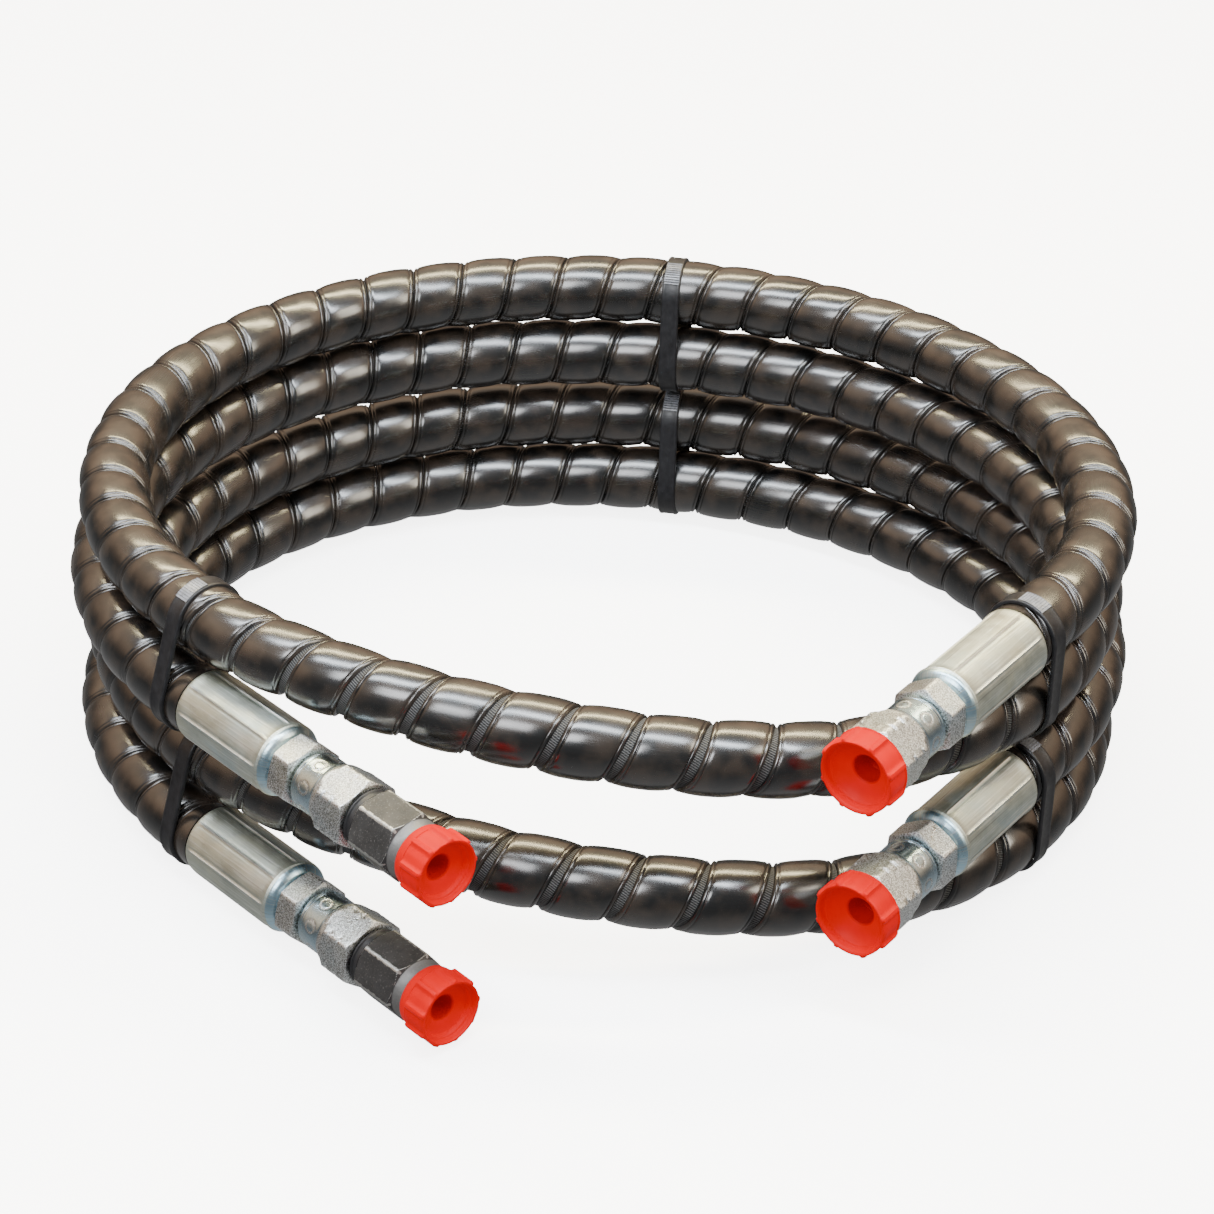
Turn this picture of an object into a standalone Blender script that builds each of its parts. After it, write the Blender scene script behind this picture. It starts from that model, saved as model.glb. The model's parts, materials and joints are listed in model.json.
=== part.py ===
"""Two hydraulic hose assemblies, each coiled flat, one lying on the other.

Each assembly is a wire-braid hose in a spiral guard, wound about one and two thirds turns: from its right
fitting round the back in an upper layer, down across the front, and round again in a lower layer to its
left fitting.  Crimped ferrules hold the stems, a swivel nut turns on each stem, a plug closes the right
nut, and the left nut carries an adapter with a cap.  Cable ties bind the two layers.  Metres, +Z up.
"""
import math

import bmesh
import bpy
from mathutils import Vector

# Hose layers, from the guard inwards (diameters)
GUARD_OD = 0.028
GUARD_ID = 0.0248
COVER_OD = 0.0236
COVER_ID = 0.0214
BRAID_OD = 0.0208
BRAID_ID = 0.0196
LINER_OD = 0.0190
LINER_ID = 0.0159
GUARD_SIDES = 12
HOSE_SIDES = 8

# Spanner sizes across flats and outside sizes of the fittings
NUT_FLATS = 0.0254
STEM_FLATS = 0.0238
ADAPTER_FLATS = 0.0238
FERRULE_OD = 0.0286
FERRULE_LENGTH = 0.053
INSERT_LENGTH = 0.047
GAP = 0.0003
FITTING_SIDES = 12
CAP_LUGS = 9
PLUG_LUGS = 8
LUG_HEIGHT = 0.0012

# Cable ties
TIE_WIDTH = 0.0076
TIE_THICKNESS = 0.0014
TIE_INNER_RADIUS = GUARD_OD / 2 + 0.0007
TIE_OUTER_RADIUS = TIE_INNER_RADIUS + TIE_THICKNESS
TIE_ARC_STEPS = 8
TIE_HEAD_LENGTH = 0.010
TIE_HEAD_DEPTH = 0.006

# Where each tie sits on the coil (degrees), and whether its head is on the outer or the inner side
TIE_PLACES = {"left": (218, -1), "back": (79, 1)}
RIGHT_TIE_SETBACK = 0.0085
RIGHT_TIE_HEAD = -1

# The coil: a slightly oval loop, seen from above, whose lower layer and left end lie a little nearer the front
HALF_WIDTH = 0.194
HALF_DEPTH = 0.168
OVAL_TURN = math.radians(-14)
LOWER_LAYER_SHIFT = Vector((-0.004, -0.0045, 0))
LEFT_END_SHIFT = Vector((0, -0.0055, 0))
COIL_START = -33
COIL_END = 577
COIL_SEGMENTS = 30
SHIFT_FROM, SHIFT_TO = 255, 360
END_SHIFT_FROM, END_SHIFT_TO = 470, 560
FALL_FROM, FALL_TO = 222, 316
FALL_DELAY = 1.4
RIGHT_LEAD = 0.025
LEFT_LEAD = 0.010
STRANDS_STEP = FERRULE_OD

# Heights of the lower layer of each assembly; ties lie under, between and over the assemblies
LOWER_BASE = TIE_OUTER_RADIUS
UPPER_BASE = LOWER_BASE + STRANDS_STEP + 2 * TIE_OUTER_RADIUS + GAP
ASSEMBLIES = {"lower": LOWER_BASE, "upper": UPPER_BASE}

# Stations of the fittings along their axes, from the ferrule's front face
NUT_REAR = 0.0125
NUT_SKIRT_END = 0.026
NUT_HEX_START = 0.030
NUT_FRONT = 0.0445
STEM_NOSE = 0.036
ADAPTER_HEX_START = 0.0492
ADAPTER_HEX_END = 0.070
ADAPTER_NECK_END = 0.0745
ADAPTER_END = 0.083
CAP_END = 0.0895
PLUG_END = 0.0555

# Angles of the hexagons' corners round their axes, as they happen to be tightened
HEX_TURN = {"left_stem": 46, "left_nut": 38, "adapter": 55, "right_stem": 31, "right_nut": 45}

MATERIALS = {
    "guard_plastic": ((0.018, 0.016, 0.015), 0.32, 0.0),
    "hose_rubber": ((0.045, 0.045, 0.047), 0.75, 0.0),
    "braid_wire": ((0.52, 0.47, 0.38), 0.40, 1.0),
    "liner_rubber": ((0.020, 0.020, 0.020), 0.60, 0.0),
    "zinc_plate": ((0.63, 0.65, 0.65), 0.36, 1.0),
    "black_steel": ((0.115, 0.115, 0.12), 0.45, 0.9),
    "seal_rubber": ((0.012, 0.012, 0.013), 0.45, 0.0),
    "red_plastic": ((0.88, 0.025, 0.015), 0.38, 0.0),
    "tie_nylon": ((0.020, 0.020, 0.022), 0.40, 0.0),
}


def clear_scene():
    for old in list(bpy.data.objects):
        bpy.data.objects.remove(old, do_unlink=True)


def material(slot):
    """The slot's Principled material, made once."""
    if slot in bpy.data.materials:
        return bpy.data.materials[slot]
    colour, roughness, metallic = MATERIALS[slot]
    made = bpy.data.materials.new(slot)
    made.use_nodes = True
    shader = made.node_tree.nodes["Principled BSDF"]
    shader.inputs["Base Color"].default_value = (*colour, 1)
    shader.inputs["Roughness"].default_value = roughness
    shader.inputs["Metallic"].default_value = metallic
    made.diffuse_color = (*colour, 1)
    return made


def add_object(name, data, slot, origin):
    data.materials.append(material(slot))
    made = bpy.data.objects.new(name, data)
    made.location = origin
    bpy.context.scene.collection.objects.link(made)
    return made


# --- the coil ---------------------------------------------------------------------------------------------

def ease(value, low, high):
    """0 below low, 1 above high, and a smooth step between them."""
    part = min(max((value - low) / (high - low), 0), 1)
    return part * part * (3 - 2 * part)


def coil_point(angle, base):
    """A point of the coil's centreline; base is the height of its lower layer."""
    turn = math.radians(angle) - OVAL_TURN
    along = HALF_WIDTH * math.cos(turn)
    across = HALF_DEPTH * math.sin(turn)
    point = Vector((along * math.cos(OVAL_TURN) - across * math.sin(OVAL_TURN),
                    along * math.sin(OVAL_TURN) + across * math.cos(OVAL_TURN), base))
    fall = ease(angle, FALL_FROM, FALL_TO) ** FALL_DELAY
    point.z += STRANDS_STEP * (1 - fall)
    point += LEFT_END_SHIFT * ease(angle, END_SHIFT_FROM, END_SHIFT_TO)
    return point + LOWER_LAYER_SHIFT * ease(angle, SHIFT_FROM, SHIFT_TO)


def fitting_axis(end_angle, inner_angle, lead, base):
    """Where a ferrule's rear face is, and the level direction in which its fitting points."""
    tip = coil_point(end_angle, base)
    direction = tip - coil_point(inner_angle, base)
    direction.z = 0
    direction.normalize()
    return tip + direction * lead, direction


class Route:
    """The centreline of one assembly's hose and the axes of its two fittings."""

    def __init__(self, base):
        self.right_rear, self.right = fitting_axis(COIL_START, COIL_START + 0.1, RIGHT_LEAD, base)
        self.left_rear, self.left = fitting_axis(COIL_END, COIL_END - 0.1, LEFT_LEAD, base)
        step = (COIL_END - COIL_START) / COIL_SEGMENTS
        self.coil = [coil_point(COIL_START + step * index, base) for index in range(COIL_SEGMENTS + 1)]

    def between(self, reach):
        """The coil's points, and straight ends that reach past the ferrules' rear faces."""
        return [self.right_rear + self.right * reach, *self.coil, self.left_rear + self.left * reach]


# --- hose and guard ---------------------------------------------------------------------------------------

def add_hose_layer(name, slot, points, outside, inside, sides):
    """A hollow tube along the points: a bevelled curve with its wall added inwards."""
    curve = bpy.data.curves.new(name, "CURVE")
    curve.dimensions = "3D"
    curve.twist_mode = "Z_UP"
    curve.bevel_depth = outside / 2
    curve.bevel_resolution = (sides - 4) // 2
    curve.resolution_u = 1
    curve.render_resolution_u = 0
    curve.use_fill_caps = False
    spline = curve.splines.new("POLY")
    spline.points.add(len(points) - 1)
    for knot, point in zip(spline.points, points):
        knot.co = (*(point - points[0]), 1)
    made = add_object(name, curve, slot, points[0])
    wall = made.modifiers.new("Wall", "SOLIDIFY")
    wall.thickness = (outside - inside) / 2
    wall.offset = -1
    wall.use_even_offset = True
    return made


def add_hose(prefix, route):
    guard = route.between(-GAP)
    hose = route.between(INSERT_LENGTH)
    add_hose_layer(prefix + "spiral_guard", "guard_plastic", guard, GUARD_OD, GUARD_ID, GUARD_SIDES)
    add_hose_layer(prefix + "hose_cover", "hose_rubber", hose, COVER_OD, COVER_ID, HOSE_SIDES)
    add_hose_layer(prefix + "hose_wire_braid", "braid_wire", hose, BRAID_OD, BRAID_ID, HOSE_SIDES)
    add_hose_layer(prefix + "hose_inner_tube", "liner_rubber", hose, LINER_OD, LINER_ID, HOSE_SIDES)


# --- fittings ---------------------------------------------------------------------------------------------

def ring_radius(shape, size, index):
    """The radius of one corner of a ring; a hex ring's size is its width across flats."""
    if shape == "hex":
        corner = size / math.sqrt(3)
        return corner if index % 2 == 0 else size / 2
    if shape == "lugs":
        return size if index % 2 == 0 else size - LUG_HEIGHT
    return size


class Fitting:
    """Turned and hexagonal pieces on one axis; stations count from the ferrule's front face."""

    def __init__(self, rear, axis):
        self.axis = axis
        self.side = axis.cross(Vector((0, 0, 1)))
        self.front = rear + axis * FERRULE_LENGTH

    def at(self, station):
        return self.front + self.axis * station

    def add_piece(self, name, slot, rings, through, turn=0, sides=FITTING_SIDES):
        """A solid lofted over rings of (station, shape, size); a through piece closes on its first ring."""
        origin = self.at(rings[0][0])
        mesh = bmesh.new()
        loops = []
        for station, shape, size in rings:
            loop = []
            for index in range(sides):
                angle = math.radians(turn) + 2 * math.pi * index / sides
                outward = self.side * math.cos(angle) + Vector((0, 0, math.sin(angle)))
                place = self.at(station) + outward * ring_radius(shape, size, index)
                loop.append(mesh.verts.new(place - origin))
            loops.append(loop)
        pairs = list(zip(loops, loops[1:]))
        if through:
            pairs.append((loops[-1], loops[0]))
        else:
            mesh.faces.new(loops[0])
            mesh.faces.new(loops[-1])
        for first, second in pairs:
            for index in range(sides):
                following = (index + 1) % sides
                mesh.faces.new((first[index], first[following], second[following], second[index]))
        bmesh.ops.recalc_face_normals(mesh, faces=mesh.faces)
        data = bpy.data.meshes.new(name)
        mesh.to_mesh(data)
        mesh.free()
        data.shade_smooth()
        data.set_sharp_from_angle(angle=math.radians(29))
        return add_object(name, data, slot, origin)


def add_ferrule(fitting, name):
    """A crimped shell: open towards the hose, with a lip at the front that grips the stem."""
    outside = FERRULE_OD / 2
    fitting.add_piece(name, "zinc_plate", [
        (-FERRULE_LENGTH, "round", outside), (-0.0035, "round", outside), (0, "round", 0.0115),
        (0, "round", 0.0093), (-0.0055, "round", 0.0093), (-0.0055, "round", 0.0125),
        (-FERRULE_LENGTH, "round", 0.0125)], through=True)


def add_stem(fitting, name, turn):
    """The insert: a tail inside the hose, a collar, a hexagon, and the nose that the nut turns on."""
    flats = STEM_FLATS
    fitting.add_piece(name, "zinc_plate", [
        (-0.048, "round", 0.0064), (-0.041, "round", 0.0070), (-0.0052, "round", 0.0070),
        (-0.0052, "round", 0.0087), (0.0006, "round", 0.0087), (0.0014, "round", 0.0112),
        (0.0022, "hex", flats), (0.0112, "hex", flats), (0.0119, "round", 0.0112), (0.0119, "round", 0.0080),
        (0.0275, "round", 0.0080), (0.0283, "round", 0.0096), (0.0315, "round", 0.0096),
        (STEM_NOSE, "round", 0.0068), (STEM_NOSE, "round", 0.0050), (-0.048, "round", 0.0050)],
        through=True, turn=turn)


def add_nut(fitting, name, turn):
    """A swivel nut: a round skirt closed behind the stem's nose, a hexagon, and the thread's bore."""
    flats = NUT_FLATS
    fitting.add_piece(name, "zinc_plate", [
        (NUT_REAR, "round", 0.0100), (NUT_REAR + 0.001, "round", 0.0110), (NUT_SKIRT_END, "round", 0.0113),
        (NUT_HEX_START, "round", flats / 2), (NUT_HEX_START + 0.0015, "hex", flats),
        (NUT_FRONT - 0.001, "hex", flats), (NUT_FRONT, "round", flats / 2), (NUT_FRONT, "round", 0.0106),
        (0.0277, "round", 0.0106), (0.0265, "round", 0.0086), (NUT_REAR, "round", 0.0086)],
        through=True, turn=turn)


def add_adapter(fitting, prefix):
    """The adapter in the left nut, with its bonded seal: nose and thread, hexagon, neck and outer thread."""
    flats = ADAPTER_FLATS
    thread = 0.0099
    fitting.add_piece(prefix + "adapter_left", "black_steel", [
        (STEM_NOSE + 0.0006, "round", 0.0072), (STEM_NOSE + 0.003, "round", thread),
        (ADAPTER_HEX_START - 0.0001, "round", thread), (ADAPTER_HEX_START, "round", flats / 2),
        (ADAPTER_HEX_START + 0.001, "hex", flats), (ADAPTER_HEX_END - 0.001, "hex", flats),
        (ADAPTER_HEX_END, "round", flats / 2), (ADAPTER_NECK_END, "round", 0.0103),
        (ADAPTER_NECK_END, "round", 0.0096), (ADAPTER_END - 0.001, "round", 0.0096),
        (ADAPTER_END, "round", 0.0088), (ADAPTER_END, "round", 0.0055),
        (STEM_NOSE + 0.0006, "round", 0.0055)], through=True, turn=HEX_TURN["adapter"])
    seal_start = NUT_FRONT + GAP
    seal_end = ADAPTER_HEX_START - GAP
    fitting.add_piece(prefix + "adapter_seal_ring", "seal_rubber", [
        (seal_start, "round", 0.0108), (seal_start + 0.001, "round", 0.0114),
        (seal_end - 0.001, "round", 0.0114), (seal_end, "round", 0.0108),
        (seal_end, "round", 0.0103), (seal_start, "round", 0.0103)], through=True)


def add_cap(fitting, name):
    """A screw cap with lugs round its rim, a socket for the adapter's thread and a recess in its end."""
    fitting.add_piece(name, "red_plastic", [
        (ADAPTER_END + 0.0006, "round", 0.0099), (ADAPTER_NECK_END + GAP, "round", 0.0099),
        (ADAPTER_NECK_END + GAP, "round", 0.0122), (0.0785, "round", 0.0127), (0.0795, "lugs", 0.0138),
        (CAP_END - 0.001, "lugs", 0.0138), (CAP_END, "round", 0.0128), (CAP_END, "round", 0.0112),
        (CAP_END - 0.0035, "round", 0.0106), (CAP_END - 0.0035, "round", 0.0050),
        (ADAPTER_END + 0.0016, "round", 0.0045)], through=False, sides=CAP_LUGS * 2)


def add_plug(fitting, name):
    """A screw plug with lugs round its flange, a shank in the nut's thread and a stepped recess."""
    fitting.add_piece(name, "red_plastic", [
        (0.0375, "round", 0.0088), (0.0385, "round", 0.0098), (NUT_FRONT + GAP, "round", 0.0098),
        (NUT_FRONT + GAP, "round", 0.0136), (0.0462, "lugs", 0.0155), (PLUG_END - 0.0012, "lugs", 0.0155),
        (PLUG_END, "round", 0.0143), (PLUG_END, "round", 0.0126), (0.0490, "round", 0.0112),
        (0.0490, "round", 0.0062), (0.0400, "round", 0.0055)], through=False, sides=PLUG_LUGS * 2)


# --- cable ties -------------------------------------------------------------------------------------------

def crossing(points, centre, direction):
    """Where the strand below the centre passes through a tie's plane, and the way it runs there."""
    found = []
    for first, second in zip(points, points[1:]):
        before = (first - centre).dot(direction)
        after = (second - centre).dot(direction)
        if before * after <= 0 and min(first.z, second.z) < centre.z - STRANDS_STEP / 2:
            found.append((first.lerp(second, before / (before - after)), (second - first).normalized()))
    return min(found, key=lambda place: (place[0] - centre).length)


def tie_outlines(reach, radius, head_depth):
    """One outline of a tie in its own plane: x along the head's side, y from the lower strand up."""
    outline = []
    for centre, start in ((reach / 2, 0), (-reach / 2, math.pi)):
        for index in range(TIE_ARC_STEPS + 1):
            angle = start + math.pi * index / TIE_ARC_STEPS
            outline.append((radius * math.cos(angle), centre + radius * math.sin(angle)))
    half = TIE_HEAD_LENGTH / 2
    if head_depth:
        head = [(radius, -half), (radius + head_depth, -half), (radius + head_depth, half), (radius, half)]
    else:
        head = [(radius, -half), (radius, -half / 3), (radius, half / 3), (radius, half)]
    return outline + head


def add_tie(name, points, upper, direction, head_side):
    """A closed band round the strand at upper and the one below it, with its head between the strands."""
    lower, lower_direction = crossing(points, upper, direction)
    direction = (direction + lower_direction).normalized()
    lower, lower_direction = crossing(points, upper, direction)
    rise = (upper - lower).normalized()
    side = direction.cross(rise) * head_side
    middle = (upper + lower) / 2
    reach = (upper - lower).length
    mesh = bmesh.new()
    loops = []
    for edge in (-TIE_WIDTH / 2, TIE_WIDTH / 2):
        for radius, head in ((TIE_OUTER_RADIUS, TIE_HEAD_DEPTH), (TIE_INNER_RADIUS, 0)):
            outline = tie_outlines(reach, radius, head)
            loops.append([mesh.verts.new(side * x + rise * y + direction * edge) for x, y in outline])
    back_outer, back_inner, front_outer, front_inner = loops
    for first, second in ((back_outer, front_outer), (front_outer, front_inner),
                          (front_inner, back_inner), (back_inner, back_outer)):
        for index in range(len(first)):
            following = (index + 1) % len(first)
            mesh.faces.new((first[index], first[following], second[following], second[index]))
    bmesh.ops.recalc_face_normals(mesh, faces=mesh.faces)
    data = bpy.data.meshes.new(name)
    mesh.to_mesh(data)
    mesh.free()
    add_object(name, data, "tie_nylon", middle)


def add_ties(prefix, route):
    points = route.between(-GAP)
    step = (COIL_END - COIL_START) / COIL_SEGMENTS
    for place, (angle, head) in TIE_PLACES.items():
        index, rest = divmod((angle - COIL_START) / step, 1)
        first, second = route.coil[int(index)], route.coil[int(index) + 1]
        direction = second - first
        direction.z = 0
        add_tie(prefix + "cable_tie_" + place, points, first.lerp(second, rest), direction.normalized(), head)
    upper = route.right_rear - route.right * RIGHT_TIE_SETBACK
    add_tie(prefix + "cable_tie_right", points, upper, -route.right, RIGHT_TIE_HEAD)


# --- assembly ---------------------------------------------------------------------------------------------

def add_assembly(prefix, base):
    route = Route(base)
    add_hose(prefix, route)
    add_ties(prefix, route)
    for side, rear, axis in (("left", route.left_rear, route.left), ("right", route.right_rear, route.right)):
        fitting = Fitting(rear, axis)
        add_ferrule(fitting, prefix + "ferrule_" + side)
        add_stem(fitting, prefix + "stem_" + side, HEX_TURN[side + "_stem"])
        add_nut(fitting, prefix + "swivel_nut_" + side, HEX_TURN[side + "_nut"])
        if side == "left":
            add_adapter(fitting, prefix)
            add_cap(fitting, prefix + "cap_left")
        else:
            add_plug(fitting, prefix + "plug_right")


def centre_on_footprint():
    """Move everything so that the origin is under the middle of the footprint."""
    bpy.context.view_layer.update()
    depsgraph = bpy.context.evaluated_depsgraph_get()
    places = []
    for made in bpy.context.scene.objects:
        evaluated = made.evaluated_get(depsgraph)
        mesh = evaluated.to_mesh()
        places += [made.location + vertex.co for vertex in mesh.vertices]
        evaluated.to_mesh_clear()
    low = Vector([min(place[axis] for place in places) for axis in range(3)])
    high = Vector([max(place[axis] for place in places) for axis in range(3)])
    shift = Vector(((low.x + high.x) / 2, (low.y + high.y) / 2, low.z))
    for made in bpy.context.scene.objects:
        made.location -= shift


def main():
    clear_scene()
    for name, base in ASSEMBLIES.items():
        add_assembly(name + "_", base)
    centre_on_footprint()


main()
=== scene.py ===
"""Looks of two coiled hydraulic hose assemblies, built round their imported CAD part.

Each assembly keeps the CAD's route.  Over it go the spiral guard's separate turns, the fabric-marked hose
cover, the crimped ferrules, threaded and hexagonal fittings, a lugged cap and plug, and the cable ties.
Lengths are in metres, heights are measured from the floor.
"""

import json
import math

import bmesh
import bpy
import numpy as np
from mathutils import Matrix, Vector

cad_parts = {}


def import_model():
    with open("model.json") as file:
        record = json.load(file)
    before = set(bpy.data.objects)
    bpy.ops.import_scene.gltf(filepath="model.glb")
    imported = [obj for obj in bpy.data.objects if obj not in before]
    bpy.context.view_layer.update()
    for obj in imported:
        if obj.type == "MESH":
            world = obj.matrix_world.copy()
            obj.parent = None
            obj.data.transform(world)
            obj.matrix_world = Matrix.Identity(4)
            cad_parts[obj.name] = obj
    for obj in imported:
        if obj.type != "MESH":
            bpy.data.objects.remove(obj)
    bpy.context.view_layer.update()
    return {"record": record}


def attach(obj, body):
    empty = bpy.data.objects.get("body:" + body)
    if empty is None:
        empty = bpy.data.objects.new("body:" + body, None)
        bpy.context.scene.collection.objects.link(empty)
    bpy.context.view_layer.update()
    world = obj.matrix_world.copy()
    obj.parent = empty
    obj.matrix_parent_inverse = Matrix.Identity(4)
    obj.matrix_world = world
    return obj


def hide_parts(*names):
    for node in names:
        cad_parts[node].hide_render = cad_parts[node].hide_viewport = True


# The CAD part's driving dimensions
GUARD_OD = 0.028
GUARD_ID = 0.0248
COVER_OD = 0.0236
COVER_ID = 0.0214
COVER_REACH = 0.010
BRAID_OD = 0.0208
BRAID_ID = 0.0196
LINER_OD = 0.0190
LINER_ID = 0.0159
INSERT_LENGTH = 0.047
NUT_FLATS = 0.0254
STEM_FLATS = 0.0238
ADAPTER_FLATS = 0.0238
FERRULE_OD = 0.0286
FERRULE_LENGTH = 0.053
GAP = 0.0003
HEX_TURN = {"left_stem": 46, "left_nut": 38, "adapter": 55, "right_stem": 31, "right_nut": 45}

# The CAD part's ties
TIE_WIDTH = 0.0076
TIE_INNER_RADIUS = GUARD_OD / 2 + 0.0007
TIE_OUTER_RADIUS = TIE_INNER_RADIUS + 0.0014
TIE_HEAD_LENGTH = 0.010
TIE_HEAD_DEPTH = 0.006
TIE_PLACES = {"left": (218, -1), "back": (79, 1)}
RIGHT_TIE_SETBACK = 0.0085
RIGHT_TIE_HEAD = -1

# The CAD part's coil
HALF_WIDTH = 0.194
HALF_DEPTH = 0.168
OVAL_TURN = math.radians(-14)
LOWER_LAYER_SHIFT = np.array((-0.004, -0.0045, 0))
LEFT_END_SHIFT = np.array((0, -0.0055, 0))
COIL_START = -33
COIL_END = 577
SHIFT_FROM, SHIFT_TO = 255, 360
END_SHIFT_FROM, END_SHIFT_TO = 470, 560
FALL_FROM, FALL_TO = 222, 316
FALL_DELAY = 1.4
RIGHT_LEAD = 0.025
LEFT_LEAD = 0.010
STRANDS_STEP = FERRULE_OD
LOWER_BASE = TIE_OUTER_RADIUS
UPPER_BASE = LOWER_BASE + STRANDS_STEP + 2 * TIE_OUTER_RADIUS + GAP
ASSEMBLIES = {"lower": LOWER_BASE, "upper": UPPER_BASE}

# Stations of the fittings along their axes, from the ferrule's front face
NUT_REAR = 0.0125
NUT_SKIRT_END = 0.026
NUT_HEX_START = 0.030
NUT_FRONT = 0.0445
STEM_NOSE = 0.036
ADAPTER_HEX_START = 0.0492
ADAPTER_HEX_END = 0.070
ADAPTER_NECK_END = 0.0745
ADAPTER_END = 0.083
CAP_END = 0.0895
PLUG_END = 0.0555
NUT_PIVOT = 0.0375

# The route: how far it goes on inside the ferrules, the half step that gives its direction, its number of
# points, and how many degrees of the coil's end give a fitting's direction
INSIDE_REACH = 0.050
ROUTE_STEP = 0.002
ROUTE_POINTS = 1200
END_STEP = 0.1
UP = np.array((0.0, 0.0, 1.0))

# The guard's turns: their pitch, how much further apart they are where the coil's front was pulled open, the
# strip's width, the most of its pitch that a turn covers, the coil's mean curvature, which spreads the turns
# on its outer side, how much the strip's radius wanders, and at how many places the pitch is worked out
GUARD_PITCH = 0.0219
FRONT_STRETCH = 0.0026
FRONT_FROM, FRONT_TO = 0.05, 0.13
GUARD_STRIP = 0.0230
GUARD_MOST = 0.992
GUARD_STEPS_PER_TURN = 36
MEAN_BEND = 1 / 0.181
GUARD_WAVE = 0.00012
GUARD_SAMPLES = 4000

# Finer shapes that only the looks have: the meshes' sides and steps, the threads, how much of a hexagon's
# corners its round bar reaches, and the marks on ferrules, nuts, lugs and ties
COVER_SIDES = 40
COVER_STEP = 0.004
INNER_STEP = 0.008
CORD_POINTS = 300
SIDES = 144
UV_RADIUS = 0.012
FERRULE_SIDES = 240
THREAD_PITCH = 0.0018
RINGS_PER_PITCH = 8
BAR_SHARE = 0.985
FERRULE_RIDGES = 8
FERRULE_TURN = 12
FERRULE_BORE_RADIUS = 0.0125
FERRULE_SHOULDER = -0.0030
FERRULE_FILM = -0.0045
DIMPLES = 7
DIMPLES_AT = 0.0205
NUT_NOTCHES = (0.0328, 0.0380)
NOTCH_RADIUS = 0.0135
NUT_THREAD = 0.0106
HOLE_RADIUS = 0.0053
LUG_HALF_WIDTH = 0.00115
LUG_SWELL = 0.00025
TIE_BITE = 0.0003

# The ties' ribs: how many, their spacing and size, the way they face and how far they lean over that way
RIB_COUNT = 10
RIB_PITCH = 0.0011
RIB_SIZE = (0.0062, 0.0007, 0.0005)
RIBS_FACE = np.array((-0.45, -0.9, 0.0))
RIBS_LEAN = 0.75

# What the attribute of worn places and painted light means below 0: a blue film on zinc, a turned surface on
# steel, and painted shade in a hole in plastic
FILM = -0.9
TURNED = -1.0
PAINTED_HOLE_SHADE = -1.0


# --- the route ---

def unit(vector):
    return vector / np.linalg.norm(vector)


def distances(points):
    """How far along a line of points each of them is."""
    steps = np.linalg.norm(np.diff(points, axis=0), axis=1)
    return np.concatenate([[0], np.cumsum(steps)])


def ease(value, low, high):
    """0 below low, 1 above high, and a smooth step between them."""
    part = np.clip((np.asarray(value, float) - low) / (high - low), 0, 1)
    return part * part * (3 - 2 * part)


def coil_points(angles, base):
    """Points of the coil's centreline at these angles; base is the height of its lower layer."""
    angles = np.asarray(angles, float)
    turn = np.radians(angles) - OVAL_TURN
    along = HALF_WIDTH * np.cos(turn)
    across = HALF_DEPTH * np.sin(turn)
    fall = ease(angles, FALL_FROM, FALL_TO) ** FALL_DELAY
    points = np.stack([along * math.cos(OVAL_TURN) - across * math.sin(OVAL_TURN),
                       along * math.sin(OVAL_TURN) + across * math.cos(OVAL_TURN),
                       base + STRANDS_STEP * (1 - fall)], axis=-1)
    points += LEFT_END_SHIFT * ease(angles, END_SHIFT_FROM, END_SHIFT_TO)[..., None]
    return points + LOWER_LAYER_SHIFT * ease(angles, SHIFT_FROM, SHIFT_TO)[..., None]


def fitting_axis(end_angle, step, lead, base):
    """Where a ferrule's rear face is, and the level direction in which its fitting points."""
    tip, inner = coil_points([end_angle, end_angle + step], base)
    direction = tip - inner
    direction[2] = 0
    direction = unit(direction)
    return tip + direction * lead, direction


class Route:
    """The centreline of one assembly's hose, from its right ferrule to its left one, in the row frame."""

    def __init__(self, base, shift=np.zeros(3)):
        self.right_rear, self.right = fitting_axis(COIL_START, END_STEP, RIGHT_LEAD, base)
        self.left_rear, self.left = fitting_axis(COIL_END, -END_STEP, LEFT_LEAD, base)
        self.right_rear -= shift
        self.left_rear -= shift
        self.coil = coil_points(np.linspace(COIL_START, COIL_END, ROUTE_POINTS), base) - shift
        first = self.right_rear + self.right * INSIDE_REACH
        last = self.left_rear + self.left * INSIDE_REACH
        self.line = np.vstack([first, self.coil, last])
        self.stations = distances(self.line) - INSIDE_REACH
        self.length = self.stations[-1] - INSIDE_REACH

    def at(self, stations):
        """Centreline points at these distances from the right ferrule's rear face."""
        return np.stack([np.interp(stations, self.stations, column) for column in self.line.T], axis=-1)

    def frames(self, stations):
        """Points, outward sides and ups at these stations."""
        ahead = self.at(np.asarray(stations) + ROUTE_STEP)
        behind = self.at(np.asarray(stations) - ROUTE_STEP)
        direction = ahead - behind
        direction /= np.linalg.norm(direction, axis=-1, keepdims=True)
        side = np.cross(direction, UP)
        side /= np.linalg.norm(side, axis=-1, keepdims=True)
        up = np.cross(side, direction)
        return (ahead + behind) / 2, side, up

    def between(self, reach, count):
        """Evenly spaced centreline points, from reach inside one ferrule to reach inside the other."""
        return self.at(np.linspace(-reach, self.length + reach, count))


def footprint_shift(record):
    """How far the CAD part moved its coil to put the origin under the middle of the footprint."""
    joint = next(joint for joint in record["behaviour"]["joints"] if joint["name"] == "lower_nut_left_swivel")
    route = Route(LOWER_BASE)
    pivot = route.left_rear + route.left * (FERRULE_LENGTH + NUT_PIVOT)
    return pivot - np.array(joint["pos_m"])


# --- meshes ---

def add_object(name, data):
    made = bpy.data.objects.new(name, data)
    bpy.context.scene.collection.objects.link(made)
    return made


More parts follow.
